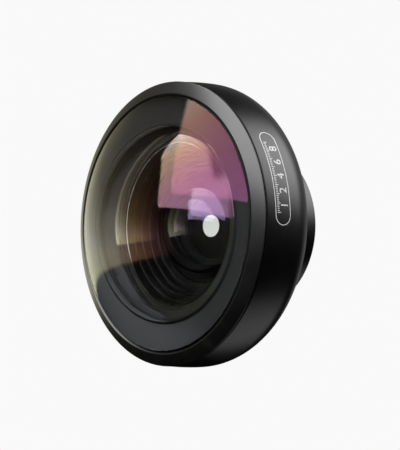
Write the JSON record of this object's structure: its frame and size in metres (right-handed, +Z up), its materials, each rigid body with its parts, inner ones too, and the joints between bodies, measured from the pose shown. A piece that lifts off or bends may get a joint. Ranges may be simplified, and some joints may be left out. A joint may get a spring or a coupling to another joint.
{
  "type": "fisheye lens",
  "caption": "Screw-on fisheye lens for a phone: bulging front glass, sloping front ring, bowl-shaped housing, rear collar and male mount thread.",
  "frame": {"origin": "on the light path, in the plane of the collar's back shoulder, where the mount thread begins", "axes": "+Y along the light path towards the phone, the front glass faces -Y, +Z up"},
  "size_m": [0.0402, 0.0274, 0.0402],
  "materials": {
    "ring_metal": "satin black anodised",
    "body_metal": "satin black anodised",
    "collar_metal": "satin black anodised",
    "thread_metal": "black anodised, cut thread",
    "barrel_metal": "matt black anodised",
    "baffle_metal": "matt black anodised, turned treads",
    "lock_metal": "black anodised",
    "retainer_metal": "matt black anodised",
    "spacer_metal": "matt black anodised",
    "stop_metal": "matt black anodised sheet",
    "shim_brass": "rolled shim stock",
    "screw_steel": "blackened steel",
    "seal_rubber": "matt black rubber",
    "gasket_rubber": "matt black rubber",
    "front_glass": "polished, coated",
    "second_glass": "polished, coated",
    "inner_glass": "polished, coated",
    "rear_glass": "polished, coated"
  },
  "bodies": {
    "lens_body": {"front_element": "front_glass", "housing": "body_metal", "focus_shim": "shim_brass", "inner_barrel": "barrel_metal", "glass_gasket": "gasket_rubber", "stepped_baffle": "baffle_metal", "second_element": "second_glass", "third_element": "inner_glass", "first_spacer": "spacer_metal", "aperture_stop": "stop_metal", "second_spacer": "spacer_metal", "doublet_crown": "inner_glass", "doublet_flint": "inner_glass", "third_spacer": "spacer_metal", "rear_element": "rear_glass", "rear_retainer": "retainer_metal", "lock_ring": "lock_metal", "mount_collar": "collar_metal", "collar_screws": "screw_steel", "mount_thread_ring": "thread_metal"},
    "seal": {"front_seal": "seal_rubber"},
    "ring": {"front_ring": "ring_metal"}
  },
  "joints": [
    {"name": "ring_travel", "type": "slide", "parent": "lens_body", "child": "seal", "axis": [0, -1, 0], "range_m": [0, 0.0015]},
    {"name": "ring_turn", "type": "hinge", "parent": "seal", "child": "ring", "pos_m": [0, -0.0178, 0], "axis": [0, -1, 0], "range_deg": [0, 720]}
  ],
  "couplings": [
    {"joint": "ring_travel", "follows": "ring_turn", "m_per_rad": 0.00011937}
  ]
}
